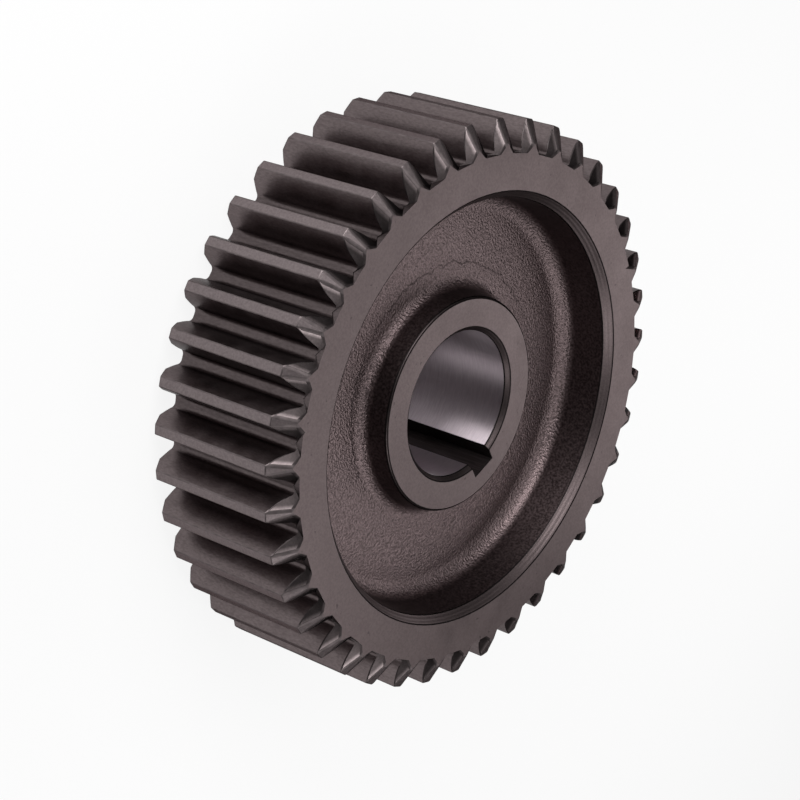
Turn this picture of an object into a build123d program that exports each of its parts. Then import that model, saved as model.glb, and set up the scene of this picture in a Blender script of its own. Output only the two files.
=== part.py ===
from build123d import *
import os
from math import acos, asin, cos, degrees, pi, radians, sin, sqrt, tan

# Spur gear forged in one piece with its hub, web and rim, then turned, bored,
# broached and hobbed. It lies on its back face: the axis is +Z, the keyway
# points along +X, and the origin is the centre of the back face. Millimetres.

# Toothing: full-depth involute teeth
MODULE = 5.0
TEETH = 39
PRESSURE_ANGLE = 20.0
ADDENDUM_RATIO = 1.0
DEDENDUM_RATIO = 1.25
TOOTH_THINNING = 0.2          # taken off the tooth at the pitch circle, for backlash
ROOT_FILLET = 1.9
FACE_WIDTH = 58.0

# Tooth ends: a turned bevel over the tips, and at the front a milled bevel along
# each flank as well
TIP_BEVEL_DEPTH = 4.5         # along the axis, at the tips
TIP_BEVEL_DROP = 7.9          # down the face of the rim
BACK_BEVEL_DEPTH = 2.5
BACK_BEVEL_DROP = 4.4
RIDGE_WIDTH = 1.5             # flat left between the flank bevels, at the face
FOOT_WIDTH = 6.3              # face left under the bevels, at the notch floor
NOTCH_SINK = 0.25             # floor of the milled notch below the root circle

# Rim, recess and web, the same on both faces
RIM_WALL = 13.25              # root circle in to the recess, at the rim face
LIP_WIDTH = 2.7               # turned lip round the recess, across and down
LIP_DEPTH = 3.0
WALL_DRAFT = 6.0              # degrees
RIM_FILLET = 6.5
WEB_THICKNESS = 16.4          # at the rim
WEB_RISE = 1.6                # each side of the web is this much higher at the hub

# Hub, bore and keyway
BORE_DIAMETER = 53.0
BORE_CHAMFER = 1.6
HUB_WALL = 12.5               # bore out to the side of the hub, at the hub face
HUB_SINK = 8.7                # front hub face below the rim face
BACK_HUB_SINK = 5.3
HUB_EDGE = 0.6
HUB_DRAFT = 7.0               # degrees
HUB_FILLET = 4.5
KEYWAY_WIDTH = 10.0
KEYWAY_DEPTH = 5.2            # bore out to the keyway floor
KEYWAY_LEAD = -1.1            # degrees from the keyway to the tooth beside it

CUT_OVERRUN = 1.5             # how far the cutters reach past the blank
FLANK_SPANS = 5               # spans of the spline along each flank

half_width = FACE_WIDTH / 2
pitch_radius = MODULE * TEETH / 2
tip_radius = pitch_radius + ADDENDUM_RATIO * MODULE
root_radius = pitch_radius - DEDENDUM_RATIO * MODULE
base_radius = pitch_radius * cos(radians(PRESSURE_ANGLE))
tooth_pitch = 2 * pi / TEETH
bore_radius = BORE_DIAMETER / 2


def involute(radius):
    """Polar angle that an involute has turned through at this radius."""
    pressure = acos(base_radius / max(radius, base_radius))
    return tan(pressure) - pressure


def gap_half_angle(radius):
    """Half the angle of the space between two teeth at this radius."""
    tooth_at_pitch = tooth_pitch / 4 - TOOTH_THINNING / (2 * pitch_radius)
    half_tooth = tooth_at_pitch + involute(pitch_radius) - involute(radius)
    return tooth_pitch / 2 - half_tooth


def beside_gap(radius, angle):
    """Point at this angle from the middle of the gap, which lies along +X."""
    return Vector(radius * cos(angle), radius * sin(angle))


def side_outline(hub_sink, bevel_depth, bevel_drop):
    """Half section of one side of the blank, from the bore out to the teeth."""
    hub_top = half_width - hub_sink
    hub_radius = bore_radius + HUB_WALL
    web_at_rim = WEB_THICKNESS / 2
    web_at_hub = web_at_rim + WEB_RISE
    hub_foot = hub_radius + (hub_top - web_at_hub) * tan(radians(HUB_DRAFT))
    recess_radius = root_radius - RIM_WALL
    lip_radius = recess_radius - LIP_WIDTH
    lip_bottom = half_width - LIP_DEPTH
    wall_foot = lip_radius - (lip_bottom - web_at_rim) * tan(radians(WALL_DRAFT))
    return [
        (bore_radius, hub_top - BORE_CHAMFER),
        (bore_radius + BORE_CHAMFER, hub_top),
        (hub_radius - HUB_EDGE, hub_top),
        (hub_radius, hub_top - HUB_EDGE),
        (hub_foot, web_at_hub),
        (wall_foot, web_at_rim),
        (lip_radius, lip_bottom),
        (recess_radius, half_width),
        (tip_radius - bevel_drop, half_width),
        (tip_radius, half_width - bevel_depth),
    ]


def make_blank():
    """The turned forging, with its middle plane at the origin."""
    front = side_outline(HUB_SINK, TIP_BEVEL_DEPTH, TIP_BEVEL_DROP)
    back = side_outline(BACK_HUB_SINK, BACK_BEVEL_DEPTH, BACK_BEVEL_DROP)
    back = [(radius, -height) for radius, height in back]
    with BuildPart() as blank:
        with BuildSketch(Plane.XZ) as section:
            Polygon(*front, *reversed(back), align=None)
            for side in (front, back):
                for (radius, height), size in ((side[4], HUB_FILLET), (side[5], RIM_FILLET)):
                    corner = section.vertices().sort_by_distance((radius, 0, height))[0]
                    fillet(corner, size)
        revolve(axis=Axis.Z)
    return blank.part


def gap_outline():
    """Space between two teeth: involute flanks, root fillets and root land.

    The fillet touches the involute where the string that draws it is shorter
    by the fillet's radius. Where the involute starts too high for that, the
    flank runs straight towards the axis, and the fillet touches that part.
    """
    centre_radius = root_radius + ROOT_FILLET
    string = sqrt(max(centre_radius**2 - base_radius**2, 0))
    if string > ROOT_FILLET:
        shoulder_radius = sqrt(base_radius**2 + (string - ROOT_FILLET) ** 2)
        centre_angle = gap_half_angle(centre_radius) - ROOT_FILLET / base_radius
    else:
        shoulder_radius = sqrt(centre_radius**2 - ROOT_FILLET**2)
        centre_angle = gap_half_angle(shoulder_radius) - asin(ROOT_FILLET / centre_radius)
    centre = beside_gap(centre_radius, centre_angle)
    foot = beside_gap(root_radius, centre_angle)
    shoulder = beside_gap(shoulder_radius, gap_half_angle(shoulder_radius))
    bisector = ((foot - centre).normalized() + (shoulder - centre).normalized()).normalized()

    flank_start = max(shoulder_radius, base_radius)
    span = (tip_radius + CUT_OVERRUN - flank_start) / FLANK_SPANS
    radii = [flank_start + span * step for step in range(FLANK_SPANS + 1)]
    flank = [beside_gap(radius, gap_half_angle(radius)) for radius in radii]
    with BuildLine() as outline:
        Spline(*flank)
        if flank_start > shoulder_radius:
            Line(shoulder, flank[0])
        ThreePointArc(foot, centre + bisector * ROOT_FILLET, shoulder)
        mirror(about=Plane.XZ)
        Line(foot, (foot.X, -foot.Y))
        Line(flank[-1], (flank[-1].X, -flank[-1].Y))
    return outline.line


def bevel_height(across, out):
    """Height of the flank bevel's plane over the face, beside a tooth.

    across is the distance from the tooth's middle, and out the distance from
    the axis along it. The plane holds the tip corner, the ridge's foot at
    the face, and the corner where the bevel meets the notch floor.
    """
    tip_half_angle = tooth_pitch / 2 - gap_half_angle(tip_radius)
    tip_corner = Vector(tip_radius * sin(tip_half_angle), tip_radius, -TIP_BEVEL_DEPTH)
    ridge_foot = Vector(RIDGE_WIDTH / 2, tip_radius - TIP_BEVEL_DROP, 0)
    floor_corner = Vector(FOOT_WIDTH / 2, root_radius, 0)
    normal = (ridge_foot - tip_corner).cross(floor_corner - ridge_foot)
    return -(normal.X * (across - ridge_foot.X) + normal.Y * (out - ridge_foot.Y)) / normal.Z


def make_end_notch():
    """Cutter for the two flank bevels and the notch floor at the front of a gap.

    The bevels' planes meet along the middle of the gap, so the cutter is a
    vee that runs outwards and down from the notch floor.
    """
    half_pitch = tooth_pitch / 2
    floor_radius = root_radius - NOTCH_SINK
    out_end = tip_radius + CUT_OVERRUN

    def height_at(out, across):
        """Height of the bevel plane here, measured from the middle of the gap."""
        tooth_across = out * sin(half_pitch) - across * cos(half_pitch)
        tooth_out = out * cos(half_pitch) + across * sin(half_pitch)
        return bevel_height(tooth_across, tooth_out)

    bottom = height_at(floor_radius, 0)
    fall = bottom - height_at(out_end, 0)
    top = fall + CUT_OVERRUN
    half_top = (top - bottom) / (height_at(floor_radius, 1) - bottom)
    floor_plane = Plane(origin=(floor_radius, 0, half_width), x_dir=(0, 1, 0), z_dir=(1, 0, 0))
    with BuildPart() as notch:
        with BuildSketch(floor_plane):
            Polygon((0, bottom), (half_top, top), (-half_top, top), align=None)
        run = Vector(out_end - floor_radius, 0, -fall)
        extrude(amount=run.length, dir=run)
    return notch.part


def make_gap_cutter():
    """Everything that is cut away between two teeth, along +X."""
    reach = half_width + CUT_OVERRUN
    with BuildPart() as cutter:
        with BuildSketch(Plane.XY.offset(-reach)):
            add(make_face(gap_outline()))
        extrude(amount=2 * reach)
        add(make_end_notch())
    return cutter.part


def make_keyway():
    """Broached keyway along +X, through the hub."""
    floor = bore_radius + KEYWAY_DEPTH
    return Pos(floor / 2, 0, 0) * Box(floor, KEYWAY_WIDTH, FACE_WIDTH)


def make_gear():
    cutter = make_gap_cutter()
    first_gap = KEYWAY_LEAD + degrees(tooth_pitch) / 2
    gaps = [Rot(0, 0, first_gap + degrees(tooth_pitch) * index) * cutter for index in range(TEETH)]
    gear = make_blank() - make_keyway() - gaps
    return Pos(0, 0, half_width) * gear


gear = make_gear()
os.makedirs("parts", exist_ok=True)
export_step(gear, "parts/gear.step")
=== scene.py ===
import bpy
import bmesh
from math import cos, pi, radians, sin
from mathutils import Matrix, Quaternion, Vector


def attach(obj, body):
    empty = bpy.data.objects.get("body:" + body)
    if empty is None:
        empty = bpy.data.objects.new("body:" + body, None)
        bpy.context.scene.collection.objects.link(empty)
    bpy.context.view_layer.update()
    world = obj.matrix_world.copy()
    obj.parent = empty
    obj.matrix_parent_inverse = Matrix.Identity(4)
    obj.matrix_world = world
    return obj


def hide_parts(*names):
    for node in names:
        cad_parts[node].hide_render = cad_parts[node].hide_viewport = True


# Finish of a forged spur gear: turned faces, hobbed teeth with milled ends, an
# as-forged web, and a ground bore, all in dark oiled steel. The shape is the
# packed gear's own, with its edges broken. Metres, axis +Z, back face on the floor.

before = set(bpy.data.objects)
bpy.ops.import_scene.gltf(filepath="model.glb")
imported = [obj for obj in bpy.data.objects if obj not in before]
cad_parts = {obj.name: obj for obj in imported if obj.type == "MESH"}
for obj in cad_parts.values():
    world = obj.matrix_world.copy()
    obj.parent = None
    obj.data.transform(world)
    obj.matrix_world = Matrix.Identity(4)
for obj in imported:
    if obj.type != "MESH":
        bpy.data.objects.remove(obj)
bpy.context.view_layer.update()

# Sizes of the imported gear
FACE_TOP = 0.058            # front face of the rim
TIP_RADIUS = 0.1025
TOOTH_FOOT = 0.0912         # root circle
TEETH = 39
KEYWAY_LEAD = -1.1 / 360 * TEETH    # from the keyway to the tooth beside it, in tooth spaces
TIP_BEVEL_DROP = 0.0079     # turned bevel over the tips, down the face
TIP_BEVEL_SLOPE = 0.869     # the same bevel's angle to the face, as a cosine
RIDGE_WIDTH = 0.0015        # flat left on a tooth's end, at the face
TIP_LAND = 0.0037           # the same at the tip
LIP_INSIDE = 0.0752         # turned lip, from here out to the rim face
HUB_RADIUS = 0.039
HUB_EDGE = 0.0007           # broken edge round the hub face, and a little more
BORE_RADIUS = 0.0265
KEYWAY_CORNER = 0.0321      # keyway's floor corners, from the axis

# Limits that tell its faces and edges apart, each a little off the size it tests
SLACK = 0.0001              # allowed at a circle that a face ends on
NOTCH_FLOOR = TOOTH_FOOT - 0.0004   # teeth and milled notches lie outside this radius
LAND_INSIDE = TIP_RADIUS - 0.0003   # tip lands lie outside this one
OUT_ON_TOOTH = TOOTH_FOOT + 0.003   # past the notch floor, out along a tooth's end
BEVEL_FOOT = FACE_TOP - 0.0047      # bevels of the tooth ends lie above this height
AT_FACE = FACE_TOP - 0.00001
LEVEL = 0.9999              # upward part of the normal of a face turned flat
SLOPED = 0.1                # and the least that a bevel's normal has
ROOT_INSIDE, ROOT_OUTSIDE = 0.0895, 0.0938    # edges between these radii stay as cut
ARRIS_TURN = radians(21)    # an edge that turns less than this has no arris
SLOPE_SLACK = 0.004         # allowed in the upward part of a bevel's normal
RIDGE_SLOPE = 0.3           # least upward part of the normals beside a ridge
RIDGE_LENGTH = 0.0025       # least length of a ridge
RIDGE_REACH = 0.002         # least difference in radius from end to end of a ridge

WELD = 0.00004              # corners closer than this are one
FACET_TURN = radians(0.2)   # faces that differ less than this are merged
RIDGE_ROUNDING = 0.0007     # rounding of the ridges, each way from the edge
EDGE_ROUNDING = 0.0003      # rounding of the other outside edges
SMOOTH_TURN = radians(30)   # edges that turn more than this shade sharp

FLASH_START, FLASH_STOP = radians(92), radians(268)     # flash line, round from the keyway
FLASH_RADIUS = 0.0505, 0.0442       # its distance from the axis at those two ends
FLASH_WAVER = 0.0025        # and how far it wanders to either side

FINISHES = (
    "turned_face", "turned_lip", "forged_skin", "hobbed_tooth",
    "turned_tip", "milled_end", "ground_bore", "broached_key_shaded", "rubbed_edge",
)


# ---------------------------------------------------------------- the gear

def level_of(face):
    """How level a face lies: one when square to the axis, and nothing when upright."""
    return abs(face.normal.z)


def on_tip_bevel(face):
    """True for a face of the turned bevel over the tips, told by its slope."""
    return abs(level_of(face) - TIP_BEVEL_SLOPE) < SLOPE_SLACK


def finish_of(face):
    """Which tool left this face of the gear, from its place and its slope."""
    radii = [vertex.co.xy.length for vertex in face.verts]
    inner, outer = min(radii), max(radii)
    sloped = level_of(face) > SLOPED
    if level_of(face) > LEVEL:
        return "turned_face"
    if inner > NOTCH_FLOOR:
        if sloped:
            return "turned_tip" if on_tip_bevel(face) else "milled_end"
        return "turned_tip" if inner > LAND_INSIDE else "hobbed_tooth"
    if outer < KEYWAY_CORNER + SLACK:
        if sloped:
            return "turned_lip"
        return "ground_bore" if outer < BORE_RADIUS + SLACK else "broached_key_shaded"
    on_lip = inner > LIP_INSIDE - SLACK
    on_hub_edge = inner > HUB_RADIUS - HUB_EDGE and outer < HUB_RADIUS + SLACK
    return "turned_lip" if on_lip or on_hub_edge else "forged_skin"


def above_bevel_foot(edge):
    """True for an edge no lower than the bevels of the tooth ends at the front."""
    return min(vertex.co.z for vertex in edge.verts) > BEVEL_FOOT


def is_ridge(edge):
    """True round the flank bevels of a tooth end, where they meet its ridge or the face."""
    radii = [vertex.co.xy.length for vertex in edge.verts]
    long_enough = edge.calc_length() > RIDGE_LENGTH and max(radii) - min(radii) > RIDGE_REACH
    if not long_enough or not above_bevel_foot(edge) or min(radii) <= NOTCH_FLOOR:
        return False
    return min(level_of(face) for face in edge.link_faces) > RIDGE_SLOPE


def is_arris(edge):
    """True for an outside edge that the tools left sharp, away from the tooth roots."""
    if len(edge.link_faces) != 2 or not edge.is_convex or edge.calc_face_angle() < ARRIS_TURN:
        return False
    centre = (edge.verts[0].co + edge.verts[1].co) / 2
    return is_ridge(edge) or not ROOT_INSIDE < centre.xy.length < ROOT_OUTSIDE


def is_ridge_seam(edge):
    """True between two facets of the turned bevel, where they cross a tooth's ridge."""
    facets = [face for face in edge.link_faces if on_tip_bevel(face)]
    return len(facets) == len(edge.link_faces) == 2 and above_bevel_foot(edge)


def is_spare(vertex):
    """True for a needless vertex part way along the end of a ridge, at the face."""
    at_ridge = vertex.co.z > AT_FACE and vertex.co.xy.length > OUT_ON_TOOTH
    return at_ridge and len(vertex.link_edges) == 2


def round_edges(gear, ridge_width, edge_width):
    """Rounds the ridges and the other outside edges, as brushing and use leave them."""
    bpy.ops.object.mode_set(mode="EDIT")
    shape = bmesh.from_edit_mesh(gear.data)
    weight = shape.edges.layers.float.new("bevel_weight_edge")
    for edge in shape.edges:
        if is_arris(edge):
            edge[weight] = 1.0 if is_ridge(edge) else edge_width / ridge_width
    bmesh.update_edit_mesh(gear.data)
    bpy.ops.object.mode_set(mode="OBJECT")
    rounding = gear.modifiers.new("rounding", "BEVEL")
    rounding.limit_method = "WEIGHT"
    rounding.width = ridge_width
    rounding.segments = 3
    rounding.use_clamp_overlap = False
    rounding.loop_slide = False
    rounding.material = FINISHES.index("rubbed_edge")
    bpy.ops.object.modifier_apply(modifier=rounding.name)


def make_gear():
    """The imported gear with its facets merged, its edges broken and its finishes laid out."""
    gear = bpy.data.objects.new("forged_gear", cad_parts["gear"].data.copy())
    bpy.context.scene.collection.objects.link(gear)
    bpy.ops.object.select_all(action="DESELECT")
    gear.select_set(True)
    bpy.context.view_layer.objects.active = gear
    gear.data.materials.clear()
    for name in FINISHES:
        gear.data.materials.append(bpy.data.materials[name])

    bpy.ops.object.mode_set(mode="EDIT")
    bpy.ops.mesh.select_mode(type="EDGE")
    bpy.ops.mesh.select_all(action="SELECT")
    bpy.ops.mesh.customdata_custom_splitnormals_clear()
    bpy.ops.mesh.remove_doubles(threshold=WELD)
    bpy.ops.mesh.dissolve_limited(angle_limit=FACET_TURN)
    shape = bmesh.from_edit_mesh(gear.data)
    bmesh.ops.dissolve_edges(shape, edges=[edge for edge in shape.edges if is_ridge_seam(edge)])
    bmesh.ops.dissolve_verts(shape, verts=[vertex for vertex in shape.verts if is_spare(vertex)])
    for face in shape.faces:
        face.material_index = FINISHES.index(finish_of(face))
    bmesh.update_edit_mesh(gear.data)
    bpy.ops.object.mode_set(mode="OBJECT")

    round_edges(gear, RIDGE_ROUNDING, EDGE_ROUNDING)
    bpy.ops.object.shade_smooth_by_angle(angle=SMOOTH_TURN)
    even = gear.modifiers.new("even_shading", "WEIGHTED_NORMAL")
    even.mode = "FACE_AREA"
    even.weight = 100
    even.keep_sharp = True
    bpy.ops.object.modifier_apply(modifier=even.name)
    return gear


# ------------------------------------------------------------- the finishes

def add(tree, kind, inputs=None, **settings):
    """A node of this kind, with its settings made and its inputs set or linked."""
    node = tree.nodes.new("ShaderNode" + kind)
    for name, value in settings.items():
        setattr(node, name, value)
    for name, value in (inputs or {}).items():
        if isinstance(value, bpy.types.NodeSocket):
            tree.links.new(value, node.inputs[name])
        else:
            node.inputs[name].default_value = value
    return node


def work_out(tree, operation, *values):
    """The result of one step of arithmetic."""
    return add(tree, "Math", dict(enumerate(values)), operation=operation).outputs[0]


def follow(tree, value, start, stop, low, high, **settings):
    """A number that goes from low to high as the value goes from start to stop."""
    inputs = {"Value": value, "From Min": start, "From Max": stop, "To Min": low, "To Max": high}
    return add(tree, "MapRange", inputs, **settings).outputs["Result"]


def radius_of(tree, place):
    """How far a place is from the axis."""
    flat = add(tree, "VectorMath", {0: place, 1: (1, 1, 0)}, operation="MULTIPLY").outputs[0]
    return add(tree, "VectorMath", {0: flat}, operation="LENGTH").outputs["Value"]


def turn_of(tree, place):
    """The angle of a place round the axis, from the keyway."""
    split = add(tree, "SeparateXYZ", {0: place}).outputs
    return work_out(tree, "ARCTAN2", split["Y"], split["X"])


def steel(name, roughness, glance=0.5):
    """A dark steel shader and the place on the gear that its patterns read.

    glance is how much of its shine the steel keeps at a glancing angle.
    """
    material = bpy.data.materials.new(name)
    material.use_nodes = True
    tree = material.node_tree
    shader = tree.nodes["Principled BSDF"]
    shader.inputs["Metallic"].default_value = 1.0
    shader.inputs["Roughness"].default_value = roughness
    shader.inputs["Specular Tint"].default_value = (glance, glance, glance, 1)
    place = add(tree, "TexCoord").outputs["Object"]
    return tree, shader, place


def speckle(tree, place, size, detail=2.0, rough=0.5, squash=(1, 1, 1)):
    """Noise whose grains are about this wide, and longer where the squash is below one."""
    mapped = add(tree, "Mapping", {"Vector": place, "Scale": squash}).outputs["Vector"]
    inputs = {"Vector": mapped, "Scale": 1 / size, "Detail": detail, "Roughness": rough}
    return add(tree, "TexNoise", inputs).outputs["Fac"]


def rings(tree, place, spacing, waver=1.0):
    """Lathe marks round the axis."""
    inputs = {
        "Vector": place, "Scale": 2 * pi / 20 / spacing,
        "Distortion": waver, "Detail": 2.0, "Detail Scale": 0.6,
    }
    wave = add(tree, "TexWave", inputs, wave_type="RINGS", rings_direction="Z")
    return wave.outputs["Fac"]


def tint(tree, shader, factor, low, high, start=0.35, stop=0.65):
    """Colours the steel from low to high as the pattern rises from start to stop."""
    ramp = add(tree, "ValToRGB", {"Fac": factor})
    for element, position, colour in zip(ramp.color_ramp.elements, (start, stop), (low, high)):
        element.position = position
        element.color = (*colour, 1)
    tree.links.new(ramp.outputs["Color"], shader.inputs["Base Color"])


def darken(tree, shader, amount):
    """Multiplies the colour by an amount that follows the surface."""
    colour = shader.inputs["Base Color"].links[0].from_socket
    scaled = add(tree, "VectorMath", {0: colour, "Scale": amount}, operation="SCALE").outputs[0]
    tree.links.new(scaled, shader.inputs["Base Color"])


def sheen(tree, shader, factor, low, high):
    """Lets the roughness follow a pattern between two values."""
    tree.links.new(follow(tree, factor, 0.3, 0.7, low, high), shader.inputs["Roughness"])


def relief(tree, shader, *layers):
    """Stacks layers of bump, each a pattern and its height in metres."""
    normal = None
    for pattern, height in layers:
        inputs = {"Height": pattern, "Distance": height}
        if normal is not None:
            inputs["Normal"] = normal
        normal = add(tree, "Bump", inputs).outputs["Normal"]
    tree.links.new(normal, shader.inputs["Normal"])


def specks(tree, place, size):
    """One, but less in scattered small dark specks."""
    return follow(tree, speckle(tree, place, size, 1.0), 0.74, 0.79, 1.0, 0.6)


def away_from_axis(tree, place, start, stop, low, high):
    """A number that goes from low to high between two radii."""
    return follow(tree, radius_of(tree, place), start, stop, low, high)


def by_slope(tree, start, stop, low, high):
    """A number that goes from low on upright walls to high on level ones."""
    normal = add(tree, "TexCoord").outputs["Normal"]
    upward = add(tree, "SeparateXYZ", {0: normal}).outputs["Z"]
    return follow(tree, work_out(tree, "ABSOLUTE", upward), start, stop, low, high)


def ridge_highlight(tree, place, width, low):
    """Painted highlight: one at the ridge of the nearest tooth's end, and low this far to either
    side of it.
    """
    radius = radius_of(tree, place)
    spaces = work_out(tree, "MULTIPLY_ADD", turn_of(tree, place), TEETH / (2 * pi), -KEYWAY_LEAD)
    off_middle = work_out(tree, "PINGPONG", spaces, 0.5)
    across = work_out(tree, "MULTIPLY", off_middle, radius)
    across = work_out(tree, "MULTIPLY", across, 2 * pi / TEETH)
    half_ridge = follow(
        tree, radius, TIP_RADIUS - TIP_BEVEL_DROP, TIP_RADIUS, RIDGE_WIDTH / 2, TIP_LAND / 2,
        clamp=False,
    )
    beyond = work_out(tree, "SUBTRACT", across, half_ridge)
    return follow(tree, beyond, width * 0.3, width, 1.0, low, interpolation_type="SMOOTHSTEP")


def flash_line(tree, place):
    """One, but less along the thin wavy line where the forging's scale ends on the web."""
    turn = work_out(tree, "FLOORED_MODULO", turn_of(tree, place), 2 * pi)
    middle = follow(tree, turn, FLASH_START, FLASH_STOP, *FLASH_RADIUS, clamp=False)
    waver = follow(tree, speckle(tree, place, 0.004, 3.0, 0.7), 0.0, 1.0, -FLASH_WAVER, FLASH_WAVER)
    off = work_out(tree, "SUBTRACT", radius_of(tree, place), middle)
    off = work_out(tree, "ADD", off, waver)
    off = work_out(tree, "ABSOLUTE", off)
    clear = follow(tree, off, 0.0001, 0.0005, 0.45, 1.0)
    height = add(tree, "SeparateXYZ", {0: place}).outputs["Z"]
    before = work_out(tree, "LESS_THAN", turn, FLASH_START)
    after = work_out(tree, "GREATER_THAN", turn, FLASH_STOP)
    behind = work_out(tree, "LESS_THAN", height, FACE_TOP / 2)
    for elsewhere in (before, after, behind):
        clear = work_out(tree, "MAXIMUM", clear, elsewhere)
    return clear


def make_finishes():
    """One finish for each tool that worked on the gear, and one for its worn edges; several also
    carry painted shade and painted highlights, marked where they are made.
    """
    tree, shader, place = steel("turned_face", 0.42)
    grain = speckle(tree, place, 0.0008, 3.0)
    tint(tree, shader, grain, (0.136, 0.107, 0.108), (0.160, 0.128, 0.128))
    darken(tree, shader, specks(tree, place, 0.0022))
    sheen(tree, shader, speckle(tree, place, 0.012), 0.38, 0.46)
    relief(tree, shader, (rings(tree, place, 0.0004, 2.0), 0.000002), (grain, 0.000015))

    tree, shader, place = steel("turned_lip", 0.38)
    grain = speckle(tree, place, 0.0006, 3.0)
    tint(tree, shader, grain, (0.118, 0.093, 0.094), (0.145, 0.115, 0.116))
    # Painted shade: the hub's broken edge and the bore's chamfer, inside these radii, are darkened
    # to dim their highlights.
    darken(tree, shader, away_from_axis(tree, place, 0.040, 0.045, 0.55, 1.0))
    relief(tree, shader, (rings(tree, place, 0.0010, 0.3), 0.00003), (grain, 0.00002))

    tree, shader, place = steel("forged_skin", 0.42)
    lumps = speckle(tree, place, 0.0008, 1.5, 0.5)
    tint(tree, shader, lumps, (0.118, 0.089, 0.090), (0.232, 0.176, 0.178), 0.33, 0.67)
    # Painted shade: the upright walls of the recess and the hub are darkened, and the skin stays
    # lighter where it lies level.
    darken(tree, shader, by_slope(tree, 0.10, 0.55, 0.45, 1.0))
    darken(tree, shader, flash_line(tree, place))
    sheen(tree, shader, lumps, 0.36, 0.50)
    depth = by_slope(tree, 0.15, 0.75, 0.00003, 0.00045)
    relief(tree, shader, (speckle(tree, place, 0.009, 2.0), 0.0001), (lumps, depth))

    tree, shader, place = steel("hobbed_tooth", 0.34)
    streaks = speckle(tree, place, 0.0006, 3.0, 0.6, (1, 1, 0.4))
    tint(tree, shader, streaks, (0.118, 0.095, 0.096), (0.162, 0.132, 0.133))
    # Painted shade: the flanks darken towards the tooth roots, down between the teeth.
    darken(tree, shader, away_from_axis(tree, place, 0.0915, 0.0935, 0.7, 1.0))
    sheen(tree, shader, speckle(tree, place, 0.006), 0.30, 0.40)
    hobbed = speckle(tree, place, 0.0005, 2.0, 0.5, (1, 1, 0.06))
    relief(tree, shader, (streaks, 0.00004), (hobbed, 0.000004))

    tree, shader, place = steel("turned_tip", 0.42, 0.15)
    grain = speckle(tree, place, 0.0008, 3.0, 0.6)
    tint(tree, shader, grain, (0.158, 0.131, 0.133), (0.208, 0.174, 0.176))
    relief(tree, shader, (grain, 0.00006))

    tree, shader, place = steel("milled_end", 0.36, 0.15)
    grain = speckle(tree, place, 0.0007, 2.0)
    # Painted highlight and painted shade: the milled ends are bright along each tooth's ridge,
    # darker away from it and towards the root, in place of the light on their curved faces.
    tint(tree, shader, grain, (0.245, 0.204, 0.205), (0.300, 0.250, 0.252))
    darken(tree, shader, away_from_axis(tree, place, 0.0920, 0.0950, 0.6, 1.0))
    darken(tree, shader, ridge_highlight(tree, place, 0.0020, 0.27))
    relief(tree, shader, (grain, 0.00003))

    tree, shader, place = steel("ground_bore", 0.47)
    scratches = speckle(tree, place, 0.0004, 3.0, 0.6, (0.08, 0.08, 1))
    tint(tree, shader, scratches, (0.42, 0.365, 0.392), (0.49, 0.427, 0.458))
    shader.inputs["Anisotropic"].default_value = 0.95
    shader.inputs["Anisotropic Rotation"].default_value = 0.25
    along = add(tree, "Tangent", axis="Z", direction_type="RADIAL").outputs[0]
    tree.links.new(along, shader.inputs["Tangent"])
    relief(tree, shader, (scratches, 0.000003))

    tree, shader, place = steel("broached_key_shaded", 0.40)
    streaks = speckle(tree, place, 0.0005, 3.0, 0.6, (1, 1, 0.04))
    # Painted shade: the keyway's colour is kept far darker than the steel elsewhere, for the shade
    # inside the keyway.
    tint(tree, shader, streaks, (0.06, 0.048, 0.048), (0.10, 0.082, 0.082))
    relief(tree, shader, (streaks, 0.00002))

    tree, shader, place = steel("rubbed_edge", 0.50, 0.15)
    smears = speckle(tree, place, 0.003, 3.0)
    tint(tree, shader, smears, (0.105, 0.088, 0.089), (0.155, 0.130, 0.131))
    # Painted shade and painted highlight: rounded edges inside the ring of teeth (lip, hub and
    # bore) are darkened to dim their highlights, and the edges stay bright only at a tooth's ridge.
    darken(tree, shader, away_from_axis(tree, place, 0.080, 0.090, 0.35, 1.0))
    darken(tree, shader, ridge_highlight(tree, place, 0.0010, 0.4))


# --------------------------------------------------------------- the studio

def make_floor():
    """Pale floor that shows white, but not under the gear, and keeps the gear's soft shadow."""
    bpy.ops.object.select_all(action="DESELECT")
    bpy.ops.mesh.primitive_plane_add(size=8)
    floor = bpy.context.object
    floor.name = "floor"
    material = bpy.data.materials.new("pale_floor")
    material.use_nodes = True
    tree = material.node_tree
    tree.nodes.clear()
    paint = add(tree, "BsdfDiffuse", {"Color": (0.90, 0.90, 0.90, 1)}).outputs["BSDF"]
    glow = add(tree, "Emission", {"Color": (1, 1, 1, 1), "Strength": 1.0}).outputs["Emission"]
    seen = add(tree, "LightPath").outputs
    shows = work_out(tree, "MAXIMUM", seen["Is Camera Ray"], seen["Is Glossy Ray"])
    shows = work_out(tree, "MAXIMUM", shows, seen["Is Transmission Ray"])
    place = add(tree, "TexCoord").outputs["Object"]
    open_floor = away_from_axis(tree, place, 0.085, 0.091, 0.0, 0.88)
    share = work_out(tree, "MULTIPLY", shows, open_floor)
    mixed = add(tree, "MixShader", {0: share, 1: paint, 2: glow}).outputs[0]
    add(tree, "OutputMaterial", {"Surface": mixed})
    floor.data.materials.append(material)


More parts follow.
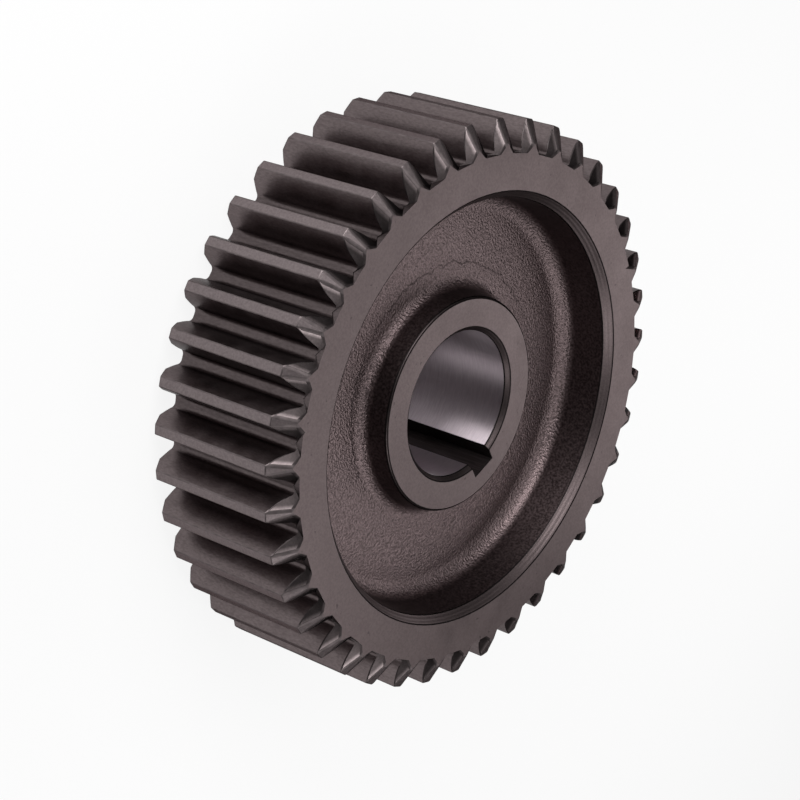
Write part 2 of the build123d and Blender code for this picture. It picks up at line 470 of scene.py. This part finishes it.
def soft_box(name, azimuth, elevation, radiance, distance=0.45, size=0.22):
    """A square lamp that faces the gear from this direction, in degrees."""
    data = bpy.data.lights.new(name, "AREA")
    data.size = size
    data.energy = radiance * pi * size ** 2
    lamp = bpy.data.objects.new(name, data)
    bpy.context.scene.collection.objects.link(lamp)
    lamp.visible_camera = False
    turn, rise = radians(azimuth), radians(elevation)
    direction = Vector((cos(turn) * cos(rise), sin(turn) * cos(rise), sin(rise)))
    lamp.location = Vector((0, 0, FACE_TOP / 2)) + direction * distance
    lamp.rotation_mode = "QUATERNION"
    lamp.rotation_quaternion = direction.to_track_quat("Z", "Y")


def make_studio():
    """A strong lamp low on one side, softer ones over it, and panels all round."""
    make_floor()
    soft_box("low_key", 180, 12, 11, distance=0.8, size=0.4)
    soft_box("key", 165, 36, 3.5)
    soft_box("over_key", 180, 60, 1.8)
    soft_box("face_panel", 45, 36, 1.7)
    soft_box("low_panel", 60, 12, 1.4)
    soft_box("right_panel", 352, 34, 0.9)
    soft_box("near_panel", 288, 38, 3.3, size=0.18)
    soft_box("top_right", 0, 60, 2.1)
    soft_box("top_back", 90, 60, 1.2)
    soft_box("top_near", 315, 60, 1.2)
    world = bpy.data.worlds.new("studio")
    bpy.context.scene.world = world
    world.use_nodes = True
    background = world.node_tree.nodes["Background"]
    background.inputs["Color"].default_value = (1, 1, 1, 1)
    background.inputs["Strength"].default_value = 0.04
    bpy.context.scene.view_settings.view_transform = "Standard"


def make_camera():
    """Long lens, from above and to the side, rolled so that the gear's axis lies level."""
    data = bpy.data.cameras.new("camera")
    data.lens = 107.95
    data.clip_start = 0.01
    camera = bpy.data.objects.new("camera", data)
    bpy.context.scene.collection.objects.link(camera)
    camera.location = (-0.54943, -0.40037, 0.54474)
    target = Vector((0.00125, -0.00557, 0.02509))
    aim = (target - camera.location).to_track_quat("-Z", "Y")
    roll = Quaternion((0, 0, 1), radians(108.72))
    camera.rotation_mode = "QUATERNION"
    camera.rotation_quaternion = aim @ roll
    bpy.context.scene.camera = camera


make_finishes()
gear = make_gear()
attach(gear, "root")
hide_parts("gear")
make_studio()
make_camera()
